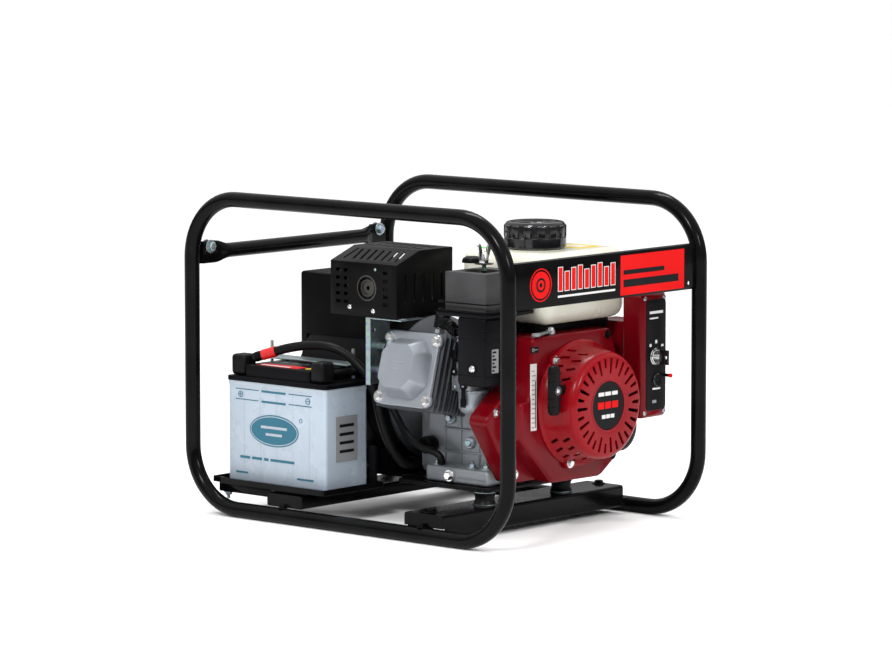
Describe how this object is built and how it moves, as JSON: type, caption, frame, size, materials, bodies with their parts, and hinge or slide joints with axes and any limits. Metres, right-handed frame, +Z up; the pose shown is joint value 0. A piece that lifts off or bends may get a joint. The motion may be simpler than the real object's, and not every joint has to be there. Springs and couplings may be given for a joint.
{
  "type": "portable generator",
  "caption": "Open tube-frame portable generator: a pull-start engine with tank, air cleaner and muffler turns an alternator with covered sockets, beside its starting battery.",
  "frame": {"origin": "on the floor under the middle of the tube frame", "axes": "+Z up, +Y along the frame from the recoil starter towards the alternator, -X towards the battery side"},
  "size_m": [0.4116, 0.5836, 0.4393],
  "materials": {
    "frame_paint": "semi-gloss black paint",
    "black_plastic": "satin black moulded plastic",
    "rubber": "matt black rubber",
    "maroon_paint": "gloss dark red paint",
    "red_paint": "gloss bright red paint",
    "tank_paint": "gloss cream paint",
    "cast_aluminium": "die-cast, matt",
    "silver_paint": "satin silver paint",
    "galvanised_steel": "zinc plated",
    "steel": "machined",
    "cast_iron": "as cast",
    "exhaust_steel": "heat-stained steel sheet",
    "windings": "laminations with varnished windings",
    "battery_plastic": "translucent pale plastic",
    "foam": "open-cell foam"
  },
  "bodies": {
    "generator": {"left_hoop": "frame_paint", "right_hoop": "frame_paint", "front_plate": "frame_paint", "rear_cross_tube": "frame_paint", "front_base_rail": "frame_paint", "rear_base_rail": "frame_paint", "engine_cradle": "frame_paint", "front_left_mount": "rubber", "front_right_mount": "rubber", "rear_left_mount": "rubber", "rear_right_mount": "rubber", "battery_tray": "frame_paint", "battery_case": "battery_plastic", "battery_lid": "black_plastic", "battery_clamp": "galvanised_steel", "positive_boot": "rubber", "negative_boot": "rubber", "positive_cable": "rubber", "negative_cable": "rubber", "ignition_lead": "rubber", "muffler_bracket": "galvanised_steel", "crankcase": "cast_aluminium", "side_cover": "cast_aluminium", "cylinder_head": "cast_aluminium", "valve_cover": "silver_paint", "spark_plug": "steel", "plug_cap": "rubber", "carburettor": "cast_aluminium", "air_cleaner_base": "black_plastic", "air_cleaner_cover": "black_plastic", "air_filter_element": "foam", "fuel_tank": "tank_paint", "fan_shroud": "maroon_paint", "recoil_cover": "red_paint", "recoil_emblem": "black_plastic", "alternator_stator": "windings", "alternator_bell": "cast_aluminium", "alternator_shell": "frame_paint", "outlet_box": "frame_paint", "muffler": "exhaust_steel", "muffler_guard": "frame_paint", "starter_motor": "frame_paint", "control_box": "maroon_paint"},
    "crank": {"crankshaft": "steel", "flywheel": "cast_iron", "alternator_rotor": "cast_iron"},
    "reel": {"recoil_reel": "black_plastic"},
    "grip": {"pull_grip": "black_plastic"},
    "filler_seal": {"cap_seal": "rubber"},
    "filler_cap": {"fuel_cap": "black_plastic"},
    "key": {"ignition_key": "steel"},
    "throttle": {"throttle_lever": "steel"},
    "choke": {"choke_lever": "black_plastic"},
    "fuel_valve": {"fuel_valve_lever": "black_plastic"},
    "oil_cap": {"oil_filler_cap": "black_plastic"},
    "wing_nut": {"wing_nut": "steel"},
    "left_lid": {"socket_lid_left": "black_plastic"},
    "right_lid": {"socket_lid_right": "black_plastic"},
    "breaker": {"breaker_button": "black_plastic"},
    "piston": {"piston": "cast_aluminium"}
  },
  "joints": [
    {"name": "crank_spin", "type": "hinge", "parent": "generator", "child": "crank", "pos_m": [0.033, -0.15, 0.1685], "axis": [0, 1, 0], "continuous": true},
    {"name": "piston_slide", "type": "slide", "parent": "generator", "child": "piston", "axis": [-0.9613, 0, 0.2756], "range_m": [-0.045, 0]},
    {"name": "reel_spin", "type": "hinge", "parent": "generator", "child": "reel", "pos_m": [0.033, -0.237, 0.1685], "axis": [0, -1, 0], "range_deg": [0, 1145], "stiffness_Nm_per_rad": 0.02},
    {"name": "grip_pull", "type": "slide", "parent": "generator", "child": "grip", "axis": [-1, 0, 0], "range_m": [0, 0.9]},
    {"name": "cap_lift", "type": "slide", "parent": "generator", "child": "filler_seal", "axis": [0, 0, 1], "range_m": [0, 0.06]},
    {"name": "cap_twist", "type": "hinge", "parent": "filler_seal", "child": "filler_cap", "pos_m": [0.032, -0.133, 0.39], "axis": [0, 0, 1], "range_deg": [0, 90]},
    {"name": "key_turn", "type": "hinge", "parent": "generator", "child": "key", "pos_m": [0.1485, -0.255, 0.222], "axis": [0, -1, 0], "range_deg": [0, 75]},
    {"name": "throttle_swing", "type": "hinge", "parent": "generator", "child": "throttle", "pos_m": [-0.01, -0.195, 0.2655], "axis": [0, 0, 1], "range_deg": [0, 30]},
    {"name": "choke_swing", "type": "hinge", "parent": "generator", "child": "choke", "pos_m": [-0.1037, -0.109, 0.214], "axis": [1, 0, 0], "range_deg": [0, 45]},
    {"name": "fuel_valve_swing", "type": "hinge", "parent": "generator", "child": "fuel_valve", "pos_m": [-0.1037, -0.125, 0.196], "axis": [1, 0, 0], "range_deg": [-80, 0]},
    {"name": "oil_cap_twist", "type": "hinge", "parent": "generator", "child": "oil_cap", "pos_m": [-0.06, -0.025, 0.105], "axis": [-1, 0, 0], "range_deg": [0, 360]},
    {"name": "wing_nut_spin", "type": "hinge", "parent": "generator", "child": "wing_nut", "pos_m": [-0.091, -0.15, 0.366], "axis": [0, 0, 1], "range_deg": [0, 360]},
    {"name": "left_lid_swing", "type": "hinge", "parent": "generator", "child": "left_lid", "pos_m": [-0.005, 0.2315, 0.295], "axis": [1, 0, 0], "range_deg": [0, 100], "stiffness_Nm_per_rad": 0.04, "springref_deg": -17.19},
    {"name": "right_lid_swing", "type": "hinge", "parent": "generator", "child": "right_lid", "pos_m": [0.062, 0.2315, 0.295], "axis": [1, 0, 0], "range_deg": [0, 100], "stiffness_Nm_per_rad": 0.04, "springref_deg": -17.19},
    {"name": "breaker_push", "type": "slide", "parent": "generator", "child": "breaker", "axis": [0, -1, 0], "range_m": [0, 0.003], "stiffness_N_per_m": 300, "springref_m": -0.001}
  ],
  "couplings": [
    {"joint": "grip_pull", "follows": "reel_spin", "m_per_rad": 0.045}
  ]
}
